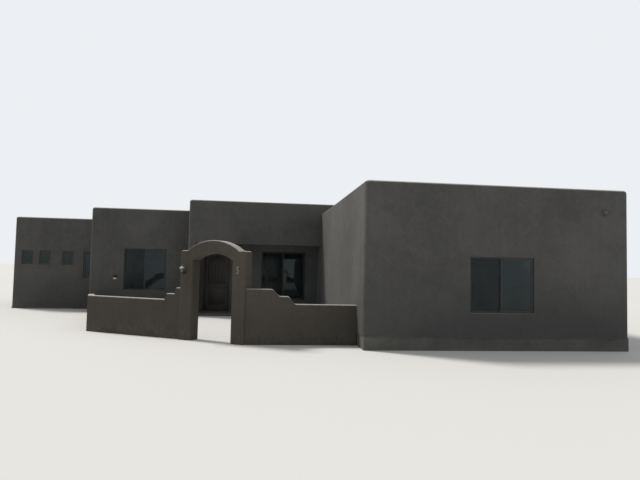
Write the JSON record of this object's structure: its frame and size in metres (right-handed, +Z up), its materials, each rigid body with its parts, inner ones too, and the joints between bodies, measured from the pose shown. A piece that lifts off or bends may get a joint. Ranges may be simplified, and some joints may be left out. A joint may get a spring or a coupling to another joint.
{
  "type": "adobe house",
  "caption": "Single-storey flat-roofed stucco adobe house with a recessed porch and a walled forecourt entered by an arched gateway.",
  "frame": {"origin": "middle of the house's bounding box at the lowest ground level", "axes": "+Z up, -Y is the front that faces the gateway side, +X runs along the front towards the large right block"},
  "size_m": [17.835, 15.89, 4.12],
  "materials": {
    "stucco": "matte sand-float stucco",
    "concrete": "rough",
    "roofing": "matte",
    "bronze_frames": "satin",
    "window_glass": "clear",
    "door_timber": "satin",
    "black_metal": "satin",
    "lantern_glass": "frosted",
    "vent_metal": "matte"
  },
  "bodies": {
    "house": {"right_front_wall": "stucco", "right_outer_wall": "stucco", "right_inner_wall": "stucco", "porch_beam_wall": "stucco", "centre_front_wall": "stucco", "centre_right_wall": "stucco", "centre_back_wall": "stucco", "centre_left_wall": "stucco", "porch_side_wall": "stucco", "entry_wall_left": "stucco", "entry_wall_over_door": "stucco", "entry_wall_right": "stucco", "left_front_wall": "stucco", "left_back_wall": "stucco", "left_outer_wall": "stucco", "end_front_wall": "stucco", "end_back_wall": "stucco", "end_outer_wall": "stucco", "right_roof": "roofing", "centre_roof": "roofing", "left_roof": "roofing", "end_roof": "roofing", "porch_ceiling": "stucco", "right_foundation": "concrete", "house_floor": "concrete", "front_window_frames": "bronze_frames", "end_window_frames": "bronze_frames", "rear_window_frames": "bronze_frames", "front_window_glass": "window_glass", "rear_window_glass": "window_glass", "door_frame": "door_timber", "hinge_frame_halves": "black_metal", "gateway_left_pier": "stucco", "gateway_right_pier": "stucco", "gateway_arch": "stucco", "right_court_wall": "stucco", "left_court_wall": "stucco", "return_court_wall": "stucco", "lantern_body": "black_metal", "lantern_glass": "lantern_glass", "vent_cap": "vent_metal", "wall_lamp": "black_metal"},
    "front_door": {"door_leaf": "door_timber", "door_hardware": "black_metal", "hinge_leaf_halves": "black_metal"}
  },
  "joints": [
    {"name": "front_door_hinge", "type": "hinge", "parent": "house", "child": "front_door", "pos_m": [-1.666, 1.703, 1.16], "axis": [0, 0, 1], "range_deg": [0, 90]}
  ]
}
